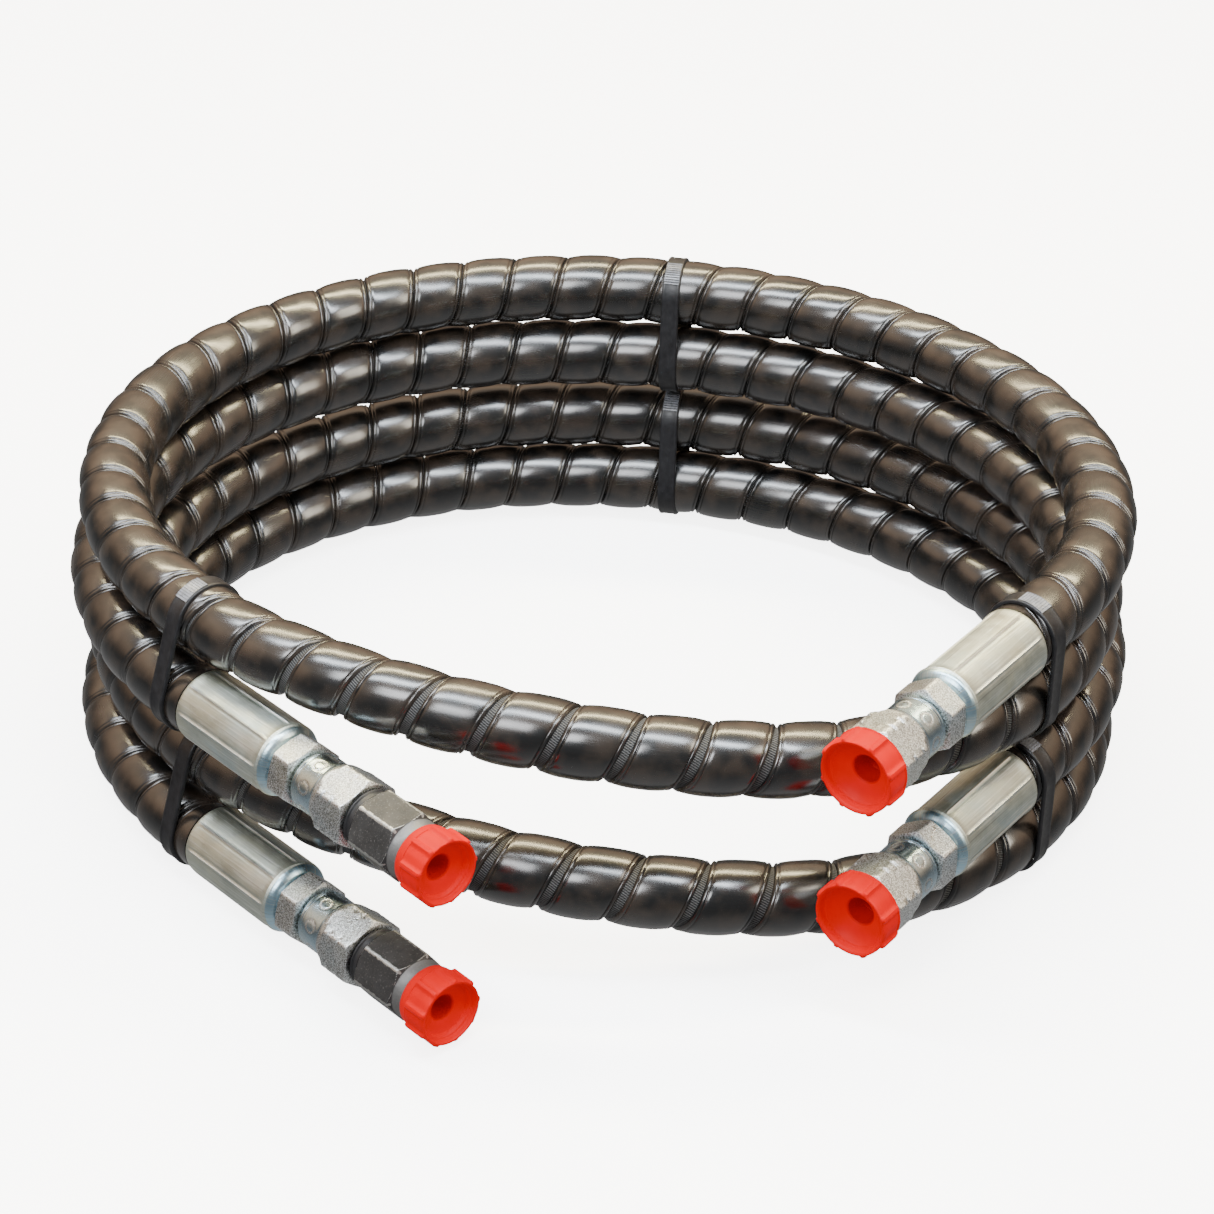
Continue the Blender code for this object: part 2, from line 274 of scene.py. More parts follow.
def grid_object(name, grid, across, along, wrap_along=False, caps=False, wear=None):
    """A mesh over a grid of points: rows along, columns across, which close into rings.

    across and along are the UV coordinates of the columns and rows, one more of each where they wrap.
    """
    rows, columns = grid.shape[:2]
    quad_rows = rows if wrap_along else rows - 1
    i, j = np.meshgrid(np.arange(quad_rows), np.arange(columns), indexing="ij")
    corner_rows = np.stack([i, i + 1, i + 1, i], axis=-1).reshape(-1, 4)
    corner_columns = np.stack([j, j, j + 1, j + 1], axis=-1).reshape(-1, 4)
    faces = (corner_rows % rows) * columns + corner_columns % columns
    data = bpy.data.meshes.new(name)
    polygons = faces.tolist()
    if caps:
        polygons.append(list(range(columns)))
        polygons.append(list(range((rows - 1) * columns, rows * columns))[::-1])
    data.from_pydata(grid.reshape(-1, 3).tolist(), [], polygons)
    uv = np.zeros((len(data.loops), 2), np.float32)
    used = faces.size
    uv[:used, 0] = np.asarray(across)[corner_columns.reshape(-1)]
    uv[:used, 1] = np.asarray(along)[corner_rows.reshape(-1)]
    data.uv_layers.new(name="UVMap").data.foreach_set("uv", uv.ravel())
    if wear is not None:
        layer = data.attributes.new("wear", "FLOAT", "POINT")
        layer.data.foreach_set("value", wear.astype(np.float32).ravel())
    mesh = bmesh.new()
    mesh.from_mesh(data)
    bmesh.ops.recalc_face_normals(mesh, faces=mesh.faces)
    mesh.to_mesh(data)
    mesh.free()
    data.shade_smooth()
    return add_object(name, data)


def dress(made, material, slot, body, *nodes, sharp=None):
    """Give a piece its material and body, and let it stand for these CAD nodes, if there are any, by hiding
    them; slot is not used.
    """
    made.data.materials.append(material)
    if sharp is not None:
        made.data.set_sharp_from_angle(angle=math.radians(sharp))
    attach(made, body)
    if nodes:
        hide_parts(*nodes)
    return made


# --- hose and guard ---

def guard_profile():
    """Half of the strip's outer section: (share of the half width, drop below the crown)."""
    crown = [(share, 0.00120 * share ** 2.6) for share in np.linspace(0, 0.80, 9)]
    lip = [(0.815, 0.00078), (0.830, 0.00112), (0.846, 0.00114), (0.862, 0.00088), (0.885, 0.00080),
           (0.915, 0.00088), (0.945, 0.00112), (0.970, 0.00148), (0.988, 0.00186), (1.0, 0.00212)]
    return crown + lip


def strip_section():
    """The closed section of the guard's strip as arrays of half-width shares and radii."""
    half = guard_profile()
    outer = [(-share, GUARD_OD / 2 - drop) for share, drop in reversed(half[1:])]
    outer += [(share, GUARD_OD / 2 - drop) for share, drop in half]
    inner = [(0.985, COVER_OD / 2 + 0.00005), (0.6, GUARD_ID / 2), (-0.6, GUARD_ID / 2),
             (-0.985, COVER_OD / 2 + 0.00005)]
    section = np.array(outer + inner)
    return section[:, 0], section[:, 1]


def add_guard(prefix, route, material):
    """The spiral guard: one strip wound round the hose, its turns parting on the outside of the bend."""
    start, end = GAP, route.length - GAP
    along = np.linspace(start - GUARD_PITCH / 2, end + GUARD_PITCH / 2, GUARD_SAMPLES)
    pitches = GUARD_PITCH + FRONT_STRETCH * ease(-route.at(along)[:, 1], FRONT_FROM, FRONT_TO)
    turned = np.concatenate([[0], np.cumsum(np.diff(along) / pitches[1:])])
    angles = np.linspace(0, 2 * math.pi * turned[-1], int(turned[-1] * GUARD_STEPS_PER_TURN))
    middles = np.interp(angles / (2 * math.pi), turned, along)
    pitch = np.interp(middles, along, pitches)
    shares, radii = strip_section()
    stretch = 1 + GUARD_OD / 2 * MEAN_BEND * np.cos(angles)
    half_width = np.minimum(GUARD_STRIP / stretch, pitch * GUARD_MOST) / 2
    stations = np.clip(middles[:, None] + half_width[:, None] * shares[None, :], start, end)
    points, side, up = route.frames(stations)
    wave = GUARD_WAVE * np.sin(angles * 0.37 + 1.1) * np.sin(angles * 0.071)
    radius = radii[None, :] + wave[:, None]
    grid = points + radius[..., None] * (np.cos(angles)[:, None, None] * side
                                         + np.sin(angles)[:, None, None] * up)
    columns = np.concatenate([shares, shares[:1]])
    made = grid_object(prefix + "spiral_guard_turns", grid, columns, angles * GUARD_OD / 2, caps=True)
    dress(made, material, "guard_plastic", prefix + "hose", prefix + "spiral_guard", sharp=60)


def add_tube(prefix, name, route, reach, outside, inside, step):
    """A hollow tube along the route, that goes this far into both ferrules."""
    stations = np.linspace(-reach, route.length + reach, int(route.length / step))
    points, side, up = route.frames(stations)
    angles = np.linspace(0, 2 * math.pi, COVER_SIDES, endpoint=False)
    outward = np.cos(angles)[None, :, None] * side[:, None] + np.sin(angles)[None, :, None] * up[:, None]
    outer = points[:, None] + outward * outside / 2
    inner = points[:, None] + outward * inside / 2
    grid = np.concatenate([outer, inner[::-1]])
    across = np.linspace(0, math.pi * outside, COVER_SIDES + 1)
    along = np.concatenate([stations, stations[::-1], stations[:1]])
    return grid_object(prefix + name, grid, across, along, wrap_along=True)


def add_hose(prefix, route, looks):
    """The hose's rubber cover, its wire braid and its inner tube, which all end inside the ferrules."""
    body = prefix + "hose"
    cover = add_tube(prefix, "hose_cover_tube", route, COVER_REACH, COVER_OD, COVER_ID, COVER_STEP)
    dress(cover, looks["cover"], "hose_rubber", body, prefix + "hose_cover", sharp=50)
    route.between(COVER_REACH, CORD_POINTS)
    braid = add_tube(prefix, "hose_wire_braid_tube", route, INSERT_LENGTH, BRAID_OD, BRAID_ID, INNER_STEP)
    dress(braid, looks["braid"], "braid_wire", body, prefix + "hose_wire_braid", sharp=50)
    liner = add_tube(prefix, "hose_inner_tube_liner", route, INSERT_LENGTH, LINER_OD, LINER_ID, INNER_STEP)
    dress(liner, looks["liner"], "liner_rubber", body, prefix + "hose_inner_tube", sharp=50)


# --- fittings ---

def run(start, end, count):
    """Rings (station, radius) from start to end, both included."""
    return [(start[0] + (end[0] - start[0]) * part, start[1] + (end[1] - start[1]) * part)
            for part in np.linspace(0, 1, count)]


def arc(start, end, bulge, count=5):
    """Rings from start to end along a line bent outwards by bulge."""
    bulges = bulge * np.sin(np.linspace(0, math.pi, count))
    return [(station, radius + out) for (station, radius), out in zip(run(start, end, count), bulges)]


def off_middle(angles, count, turn=0):
    """Angles from the middle of the sector that they are in, of count equal sectors."""
    sector = 2 * math.pi / count
    return (angles - math.radians(turn)) % sector - sector / 2


class Fitting:
    """Turned and hexagonal pieces on one axis; stations count from the ferrule's front face."""

    def __init__(self, rear, axis, prefix, side):
        self.axis = axis
        self.side = unit(np.cross(axis, UP))
        self.front = rear + axis * FERRULE_LENGTH
        self.prefix = prefix
        self.name = side

    def loft(self, name, rings, turn=0, sides=SIDES, caps=False, shape=None):
        """A solid over rings of (station, radius).

        shape(angles, station, radius) may change a ring's radii, and returns them with their value of worn
        places and painted light.
        Unless it has caps the solid closes on its first ring, like a pipe.
        """
        angles = math.radians(turn) + np.linspace(0, 2 * math.pi, sides, endpoint=False)
        outward = np.cos(angles)[:, None] * self.side + np.sin(angles)[:, None] * UP
        rows, wear = [], []
        for station, radius in rings:
            radii, worn = shape(angles, station, radius) if shape else (radius, 0)
            radii = np.broadcast_to(radii, sides)
            rows.append(self.front + self.axis * station + outward * radii[:, None])
            wear.append(np.broadcast_to(worn, sides))
        across = np.linspace(0, 2 * math.pi, sides + 1) * UV_RADIUS
        along = distances(np.array(rings + rings[:1]))
        return grid_object(self.prefix + name, np.array(rows), across, along, wrap_along=not caps,
                           caps=caps, wear=np.array(wear))


def blank_radius(flats):
    """Radius of the round bar that a hexagon is cut from: a little less than the hexagon's corners."""
    return flats / math.sqrt(3) * BAR_SHARE


def hex_shape(flats, turn, first, last):
    """A ring shape that cuts a turned piece to a hexagon between two stations; its edges are worn."""
    def shape(angles, station, radius):
        if not first <= station <= last or radius <= flats / 2:
            return radius, 0
        flat = flats / 2 / np.cos(off_middle(angles, 6, turn))
        corner = np.clip(1 - (flats / math.sqrt(3) - flat) / 0.0008, 0, 1)
        edge = np.clip(1 - np.abs(flat - radius) / 0.00035, 0, 1)
        return np.minimum(flat, radius), np.maximum(corner, edge)
    return shape


def thread(first, last, radius):
    """Rings close enough for a thread, into which a ring shape cuts the helix."""
    count = int(abs(last - first) / THREAD_PITCH * RINGS_PER_PITCH) + 1
    return [(station, radius) for station in np.linspace(first, last, count)]


def helix_cut(angles, station, depth):
    """How far a thread's flank lies below its crest, round one ring."""
    phase = (station / THREAD_PITCH + angles / (2 * math.pi)) % 1
    return depth * np.clip(1.25 * np.abs(2 * phase - 1) - 0.12, 0, 1)


def ferrule_shape(angles, station, radius):
    """Crimped flats with a fine raised line between each two, marked to be painted bright as a highlight; the
    bore and the blue shoulder are round.
    """
    if radius <= FERRULE_BORE_RADIUS or station > FERRULE_SHOULDER:
        return radius, FILM if station > FERRULE_FILM else 0
    fade = ease(station, -0.0520, -0.0485) * (1 - ease(station, -0.0055, -0.0040))
    beyond = off_middle(angles, FERRULE_RIDGES, FERRULE_TURN)
    flat = math.cos(math.pi / FERRULE_RIDGES) / np.cos(beyond)
    off_ridge = (math.pi / FERRULE_RIDGES - np.abs(beyond)) * radius
    ridge = np.exp(-(off_ridge / 0.00030) ** 2)
    groove = np.exp(-((off_ridge - 0.0010) / 0.00035) ** 2)
    change = 0.42 * (flat - 1) * radius + 0.00024 * ridge - 0.00012 * groove
    # painted highlight: the raised lines are marked so that they are painted bright; the groove beside each
    # is marked a little towards the blue film
    return radius + fade * change, fade * (ridge - 0.15 * groove)


def add_ferrule(fitting, material):
    """The crimped socket round the hose's end, with a fine bead behind its shoulder."""
    outside = FERRULE_OD / 2
    rings = arc((-FERRULE_LENGTH, outside - 0.0008), (-FERRULE_LENGTH + 0.0012, outside - 0.0001), 0.0002, 4)
    rings += run((-0.0505, outside), (-0.0042, outside), 30)
    rings += [(-0.0038, outside + 0.00006), (-0.0035, outside), (-0.0033, outside - 0.00022)]
    rings += arc((FERRULE_SHOULDER, outside - 0.00038), (0, 0.0117), 0.00055, 8)
    rings += [(0, 0.0093), (-0.0055, 0.0093)]
    rings += run((-0.0055, FERRULE_BORE_RADIUS), (-FERRULE_LENGTH, FERRULE_BORE_RADIUS), 2)
    name = "ferrule_" + fitting.name
    made = fitting.loft(name + "_crimped", rings, shape=ferrule_shape, sides=FERRULE_SIDES)
    return dress(made, material, "zinc_plate", fitting.prefix + "hose", fitting.prefix + name, sharp=38)


def add_stem(fitting, material):
    """The insert: a tail inside the hose, a collar, a hexagon, and the nose that the nut turns on."""
    corner = blank_radius(STEM_FLATS)
    turn = HEX_TURN[fitting.name + "_stem"]
    rings = [(-0.048, 0.0050), (-0.048, 0.0064), (-0.041, 0.0070), (-0.0052, 0.0070), (-0.0052, 0.0087),
             (0.0006, 0.0087), (0.0010, 0.0108)]
    rings += run((0.0013, STEM_FLATS / 2 - 0.0002), (0.0021, corner), 6)
    rings += run((0.0026, corner), (0.0105, corner), 8)
    rings += run((0.0110, corner), (0.0118, STEM_FLATS / 2 - 0.0002), 6)
    rings += [(0.0119, 0.0108), (0.0119, 0.0080), (0.0275, 0.0080), (0.0283, 0.0096), (0.0315, 0.0096),
              (STEM_NOSE, 0.0068), (STEM_NOSE, 0.0050)]
    name = "stem_" + fitting.name
    made = fitting.loft(name + "_forged", rings, turn=turn, shape=hex_shape(STEM_FLATS, turn, 0.0010, 0.0119))
    dress(made, material, "zinc_plate", fitting.prefix + "hose", fitting.prefix + name, sharp=32)


def nut_shape(turn):
    """The hexagon's cut, the skirt's round crimp marks and the bore's thread."""
    hexed = hex_shape(NUT_FLATS, turn, NUT_HEX_START - 0.003, NUT_FRONT)

    def shape(angles, station, radius):
        if radius < 0.0100 or radius == NUT_THREAD:
            threaded = 0.0285 < station < NUT_FRONT - 0.0006
            return radius - threaded * helix_cut(angles, station, 0.0008), 0
        if station < NUT_SKIRT_END:
            off = np.hypot(off_middle(angles, DIMPLES) * radius, station - DIMPLES_AT)
            mark = np.exp(-((off - 0.0023) / 0.00040) ** 2)
            return radius - 0.00016 * mark, 0.7 * mark - 0.6
        return hexed(angles, station, radius)
    return shape


def add_nut(fitting, material):
    """A swivel nut: a marked round skirt, a shoulder, notched corners, a hexagon and a threaded bore."""
    corner = blank_radius(NUT_FLATS)
    turn = HEX_TURN[fitting.name + "_nut"]
    rings = [(NUT_REAR, 0.0086), (NUT_REAR, 0.0100)]
    rings += arc((NUT_REAR + 0.0002, 0.0104), (NUT_REAR + 0.0016, 0.0112), 0.0001, 4)
    rings += [(0.0147, 0.0112), (0.0150, 0.01095), (0.0156, 0.01095), (0.0159, 0.0114)]
    rings += run((0.0163, 0.0115), (0.0248, 0.0115), 24)
    rings += arc((0.0252, 0.0116), (0.0290, 0.0131), 0.0003, 8)
    rings += [(0.0297, 0.0139), (0.0304, corner)]
    for notch in NUT_NOTCHES:
        rings += run((notch - 0.0020, corner), (notch - 0.0007, corner), 3)
        rings += [(notch, NOTCH_RADIUS), (notch + 0.0007, corner)]
    rings += run((0.0405, corner), (NUT_FRONT - 0.0013, corner), 4)
    rings += run((NUT_FRONT - 0.0009, corner - 0.0003), (NUT_FRONT, NUT_FLATS / 2 - 0.0001), 5)
    rings += [(NUT_FRONT, 0.0110)]
    rings += thread(NUT_FRONT - 0.0003, 0.0280, NUT_THREAD)
    rings += [(0.0277, NUT_THREAD), (0.0265, 0.0086)]
    made = fitting.loft("swivel_nut_" + fitting.name + "_forged", rings, turn=turn, shape=nut_shape(turn))
    dress(made, material, "zinc_plate", fitting.prefix + "nut_" + fitting.name,
          fitting.prefix + "swivel_nut_" + fitting.name, sharp=32)


def adapter_shape(turn):
    """The adapter's hexagon and the threads of its nose and its outer end."""
    hexed = hex_shape(ADAPTER_FLATS, turn, ADAPTER_HEX_START, ADAPTER_HEX_END)

    def shape(angles, station, radius):
        nose = 0.0395 < station < 0.0485
        outer = 0.0754 < station < ADAPTER_END - 0.0008
        if (nose or outer) and 0.0094 < radius < 0.0100:
            return radius - helix_cut(angles, station, 0.0006), 0
        if station > ADAPTER_HEX_END + 0.0001:
            return radius, TURNED
        return hexed(angles, station, radius)
    return shape


def add_adapter(fitting, steel, seal):
    """The dark adapter: nose and thread, chamfered hexagon, conical neck and outer thread; and its seal."""
    corner = blank_radius(ADAPTER_FLATS)
    turn = HEX_TURN["adapter"]
    flat = ADAPTER_FLATS / 2 - 0.0001
    start, end, neck = ADAPTER_HEX_START, ADAPTER_HEX_END, ADAPTER_NECK_END
    rings = [(STEM_NOSE + 0.0006, 0.0055), (STEM_NOSE + 0.0006, 0.0072), (STEM_NOSE + 0.0028, 0.0096)]
    rings += thread(0.0391, start - 0.0004, 0.0099)
    rings += [(start - 0.0001, 0.0099), (start, 0.0108)]
    rings += run((start + 0.0001, flat), (start + 0.0011, corner), 6)
    rings += run((start + 0.0016, corner), (end - 0.0016, corner), 10)
    rings += run((end - 0.0011, corner), (end, flat), 6)
    rings += arc((end + 0.0002, 0.0116), (neck - 0.0012, 0.0104), -0.0002, 8)
    rings += [(neck - 0.0010, 0.0105), (neck - 0.0002, 0.0105), (neck, 0.0103), (neck, 0.0096)]
    rings += thread(neck + 0.0006, ADAPTER_END - 0.0009, 0.0096)
    rings += [(ADAPTER_END, 0.0088), (ADAPTER_END, 0.0055)]
    body = fitting.prefix + "adapter"
    made = fitting.loft("adapter_left_hexagon", rings, turn=turn, shape=adapter_shape(turn))
    dress(made, steel, "black_steel", body, fitting.prefix + "adapter_left", sharp=32)
    start, end = NUT_FRONT + GAP, ADAPTER_HEX_START - GAP
    rings = [(start, 0.0103), (start, 0.0110), (start + 0.0003, 0.0114), (start + 0.0010, 0.0114)]
    rings += [(start + 0.0014, 0.0109), (end - 0.0014, 0.0109), (end - 0.0010, 0.0114)]
    rings += [(end - 0.0003, 0.0114), (end, 0.0110), (end, 0.0103)]
    ring = fitting.loft("adapter_seal_ring_rubber", rings)
    dress(ring, seal, "seal_rubber", body, fitting.prefix + "adapter_seal_ring", sharp=50)


def lug_shape(count, height, first, last, least):
    """Rounded lugs spread round a rim between two stations, where its radius is above least.

    Rings inside the deep hole in the middle are marked, so that painted shade can darken them.
    """
    def shape(angles, station, radius):
        if first <= station <= last and radius > least:
            beyond = np.abs(off_middle(angles, count))
            lug = 1 / (1 + (beyond * radius / LUG_HALF_WIDTH) ** 6)
            swell = LUG_SWELL * beyond / (math.pi / count)
            return radius - height + height * lug + swell, lug
        return radius, PAINTED_HOLE_SHADE if radius < HOLE_RADIUS else 0
    return shape


def add_cap(fitting, material):
    """The adapter's red cap: a lugged rim, a socket over the thread, a bowl and a deep hollow finger."""
    end = CAP_END
    neck = ADAPTER_NECK_END + GAP
    rings = [(0.0690, 0.0040), (0.0692, 0.0050), (ADAPTER_END + 0.0005, 0.0050)]
    rings += [(ADAPTER_END + 0.0006, 0.0098)]
    rings += run((ADAPTER_END, 0.0099), (neck, 0.0099), 6)
    rings += [(neck, 0.0118)]
    rings += arc((neck + 0.0003, 0.0120), (0.0782, 0.0125), 0.0001, 5)
    rings += [(0.0785, 0.0126), (0.0787, 0.0132), (0.0790, 0.0137), (0.0796, 0.0138)]
    rings += run((0.0805, 0.0138), (end - 0.0016, 0.0138), 5)
    rings += [(end - 0.0010, 0.0137), (end - 0.0004, 0.0135), (end - 0.0001, 0.0130)]
    rings += [(end, 0.0127), (end - 0.0001, 0.0121), (end - 0.0005, 0.0118)]
    rings += arc((end - 0.0009, 0.0116), (end - 0.0020, 0.0113), 0.0001, 4)
    rings += [(end - 0.0022, 0.0107), (end - 0.0024, 0.0105), (end - 0.0038, 0.0101), (end - 0.0040, 0.0095)]
    rings += arc((end - 0.0041, 0.0092), (end - 0.0052, 0.0056), -0.0004, 6)
    rings += [(end - 0.0056, 0.0046), (end - 0.0066, 0.0042), (0.0715, 0.0036), (0.0700, 0.0026)]
    lugs = lug_shape(9, 0.0012, 0.0786, end, 0.0129)
    made = fitting.loft("cap_left_lugged", rings, turn=8, caps=True, shape=lugs)
    dress(made, material, "red_plastic", fitting.prefix + "cap", fitting.prefix + "cap_left", sharp=40)


def add_plug(fitting, material):
    """The right nut's red plug: a lugged flange, a threaded shank and a wide bowl with a deep hole in it."""
    end = PLUG_END
    rings = [(0.0376, 0.0060), (0.0375, 0.0085)]
    rings += thread(0.0382, NUT_FRONT, 0.0098)
    rings += [(NUT_FRONT + GAP, 0.0098), (NUT_FRONT + GAP, 0.0136), (0.0451, 0.0147), (0.0456, 0.0153)]
    rings += run((0.0463, 0.0155), (end - 0.0018, 0.0155), 6)
    rings += [(end - 0.0010, 0.0154), (end - 0.0004, 0.0152), (end - 0.0001, 0.0147), (end, 0.0142)]
    rings += [(end - 0.0001, 0.0137), (end - 0.0005, 0.0132)]
    rings += arc((end - 0.0010, 0.0129), (0.0526, 0.0124), 0.0001, 4)
    rings += [(0.0524, 0.0119)]
    rings += arc((0.0522, 0.0117), (0.0488, 0.0070), 0.0006, 8)
    rings += [(0.0484, 0.0060), (0.0478, 0.0052), (0.0400, 0.0048), (0.0390, 0.0036)]
    lugs = lug_shape(8, 0.0013, 0.0455, end, 0.0146)
    made = fitting.loft("plug_right_lugged", rings, turn=20, caps=True, shape=lugs)
    dress(made, material, "red_plastic", fitting.prefix + "plug", fitting.prefix + "plug_right", sharp=40)


# --- cable ties ---

def crossing(points, centre, direction):
    """Where the strand below the centre passes through a tie's plane, and the way it runs there."""
    ahead = (points - centre) @ direction
    low = np.minimum(points[:-1, 2], points[1:, 2]) < centre[2] - STRANDS_STEP / 2
    found = np.nonzero((ahead[:-1] * ahead[1:] <= 0) & low)[0]
    places = []
    for index in found:
        first, second = points[index], points[index + 1]
        share = ahead[index] / (ahead[index] - ahead[index + 1])
        places.append((first + (second - first) * share, unit(second - first)))
    return min(places, key=lambda place: np.linalg.norm(place[0] - centre))


def band_outline(reach, arc_steps=40, straight_steps=24):
    """Round both strands: heights from the middle between them, and directions outwards (sideways, up)."""
    outline = []
    for centre, start in ((reach / 2, 0), (-reach / 2, math.pi)):
        for angle in start + np.linspace(0, math.pi, arc_steps, endpoint=False):
            outline.append((centre, math.cos(angle), math.sin(angle)))
        flank = -1 if centre > 0 else 1
        for part in np.linspace(0, 1, straight_steps, endpoint=False):
            outline.append((centre * (1 - 2 * part), flank, 0))
    return outline


def band_section():
    """The band's closed section as (across, radius); its outer face is sunk between two raised edges."""
    half = TIE_WIDTH / 2
    inner = GUARD_OD / 2 - TIE_BITE
    outer = inner + TIE_OUTER_RADIUS - TIE_INNER_RADIUS
    edge = [(half, inner), (half, outer - 0.0007), (half - 0.0001, outer - 0.0003), (half - 0.0005, outer),
            (half - 0.0012, outer - 0.00005), (half - 0.0016, outer - 0.00018)]
    return edge + [(0, outer - 0.00018)] + [(-across, radius) for across, radius in reversed(edge)]


def tie_place(route, name):
    """The upper strand's centre and direction at one tie, and the side that its head is on."""
    if name == "right":
        return route.right_rear - route.right * RIGHT_TIE_SETBACK, -route.right, RIGHT_TIE_HEAD
    angle, head = TIE_PLACES[name]
    share = (angle - COIL_START) / (COIL_END - COIL_START) * (len(route.coil) - 1)
    index = int(share)
    first, second = route.coil[index], route.coil[index + 1]
    direction = second - first
    direction[2] = 0
    return first + (second - first) * (share - index), unit(direction), head


def add_tie(prefix, name, route, looks):
    """A nylon band drawn round two strands, ribbed on its outer face, with its ratchet head beside them."""
    points = route.between(-GAP, ROUTE_POINTS)
    upper, direction, head_side = tie_place(route, name)
    _, lower_direction = crossing(points, upper, direction)
    direction = unit(direction + lower_direction)
    lower, _ = crossing(points, upper, direction)
    rise = unit(upper - lower)
    side = np.cross(direction, rise) * head_side
    middle = (upper + lower) / 2
    section = band_section()
    grid = []
    for height, sideways, up in band_outline(np.linalg.norm(upper - lower)):
        centre = middle + rise * height
        outward = side * sideways + rise * up
        grid.append([centre + outward * radius + direction * across for across, radius in section])
    columns = [across for across, _ in section + section[:1]]
    rows = distances(np.array([row[0] for row in grid + grid[:1]]))
    tie = prefix + "cable_tie_" + name
    band = grid_object(tie + "_band", np.array(grid), columns, rows, wrap_along=True)
    dress(band, looks["tie"], "tie_nylon", prefix + "hose", tie, sharp=50)
    for mesh, part, material in ((rib_boxes(upper, side, rise, direction), "_ribs", looks["ribs"]),
                                 (head_boxes(middle, side, rise, direction), "_head", looks["tie"])):
        made = boxes_object(tie + part, mesh)
        dress(made, material, "tie_nylon", prefix + "hose", sharp=40)


def box_mesh(mesh, centre, axes, size, chamfer):
    """Add a chamfered box to a bmesh; axes are the directions of its three sizes."""
    made = bmesh.ops.create_cube(mesh, size=1)["verts"]
    for vertex in made:
        vertex.co = centre + sum(axis * extent * share for axis, extent, share in zip(axes, size, vertex.co))
    edges = list({edge for vertex in made for edge in vertex.link_edges})
    bmesh.ops.bevel(mesh, geom=edges, offset=chamfer, segments=2, affect="EDGES")


def boxes_object(name, mesh):
    """Make an object of the boxes in a bmesh."""
    bmesh.ops.recalc_face_normals(mesh, faces=mesh.faces)
    data = bpy.data.meshes.new(name)
    mesh.to_mesh(data)
    mesh.free()
    data.shade_smooth()
    return add_object(name, data)


def rib_boxes(upper, side, rise, direction):
    """The band's cross ribs, over the upper strand, on the side that faces the front."""
    mesh = bmesh.new()
    radius = GUARD_OD / 2 + 0.0011
    lean = RIBS_LEAN * side @ RIBS_FACE
    for index in range(RIB_COUNT):
        angle = math.pi / 2 - lean + (index - (RIB_COUNT - 1) / 2) * RIB_PITCH / radius
        outward = side * math.cos(angle) + rise * math.sin(angle)
        along = -side * math.sin(angle) + rise * math.cos(angle)
        box_mesh(mesh, upper + outward * radius, (direction, along, outward), RIB_SIZE, 0.00012)
    return mesh


def head_boxes(middle, side, rise, direction):
    """The ratchet head, a chamfered block, and the cut end of the strap that stands out of it."""
    mesh = bmesh.new()
    centre = middle + side * (TIE_INNER_RADIUS + TIE_HEAD_DEPTH / 2)
    axes = (direction, rise, side)
    box_mesh(mesh, centre, axes, (TIE_WIDTH + 0.0006, TIE_HEAD_LENGTH, TIE_HEAD_DEPTH), 0.0008)
    strap_end = (TIE_WIDTH - 0.0024, TIE_HEAD_LENGTH + 0.0014, 0.0016)
    box_mesh(mesh, centre + rise * 0.0012, axes, strap_end, 0.0003)
    return mesh


# --- materials ---

class Nodes:
    """A node tree, with short calls for the nodes that it needs."""

    def __init__(self, tree):
        self.tree = tree

    def feed(self, socket, value):
        """Link another node's output to a socket, or set the socket to a constant."""
        if isinstance(value, bpy.types.NodeSocket):
            self.tree.links.new(value, socket)
        else:
            socket.default_value = value

    def node(self, kind, inputs=(), **settings):
        made = self.tree.nodes.new(kind)
        for setting, value in settings.items():
            setattr(made, setting, value)
        for socket, value in dict(inputs).items():
            self.feed(made.inputs[socket], value)
        return made

    def uv(self, scale):
        coordinates = self.node("ShaderNodeUVMap", uv_map="UVMap").outputs[0]
        return self.node("ShaderNodeMapping", {"Vector": coordinates, "Scale": scale}).outputs[0]

    def place(self):
        return self.node("ShaderNodeTexCoord").outputs["Object"]

    def noise(self, vector, scale, detail, roughness=0.55, distortion=0.0):
        inputs = {"Vector": vector, "Scale": scale, "Detail": detail, "Roughness": roughness,
                  "Distortion": distortion}
        return self.node("ShaderNodeTexNoise", inputs).outputs["Fac"]

    def remap(self, value, low, high, to_low=0.0, to_high=1.0):
        return self.node("ShaderNodeMapRange", {"Value": value, "From Min": low, "From Max": high,
                                                "To Min": to_low, "To Max": to_high}).outputs["Result"]

    def mix(self, factor, first, second):
        made = self.node("ShaderNodeMix", data_type="RGBA")
        sockets = {socket.identifier: socket for socket in made.inputs}
        self.feed(sockets["Factor_Float"], factor)
        for name, colour in (("A_Color", first), ("B_Color", second)):
            self.feed(sockets[name], (*colour, 1) if isinstance(colour, tuple) else colour)
        return next(socket for socket in made.outputs if socket.identifier == "Result_Color")

    def maths(self, operation, *values):
        return self.node("ShaderNodeMath", dict(enumerate(values)), operation=operation).outputs[0]

    def plus(self, first, second):
        return self.maths("ADD", first, second)

    def times(self, first, second):
        return self.maths("MULTIPLY", first, second)

    def attribute(self, name):
        return self.node("ShaderNodeAttribute", attribute_name=name).outputs["Fac"]

    def bump(self, height, distance, strength=1.0, normal=None):
        inputs = {"Height": height, "Distance": distance, "Strength": strength}
        if normal is not None:
            inputs["Normal"] = normal
        return self.node("ShaderNodeBump", inputs).outputs[0]


class Shader(Nodes):
    """A material's node tree; the Principled BSDF's sockets are given with underscores for spaces."""

    def __init__(self, name, **sockets):
        self.material = bpy.data.materials.new(name)
        self.material.use_nodes = True
        super().__init__(self.material.node_tree)
        self.drive(**sockets)

    def drive(self, **sockets):
        principled = self.tree.nodes["Principled BSDF"]
        for name, value in sockets.items():
            self.feed(principled.inputs[name.replace("_", " ")], value)
        return self.material


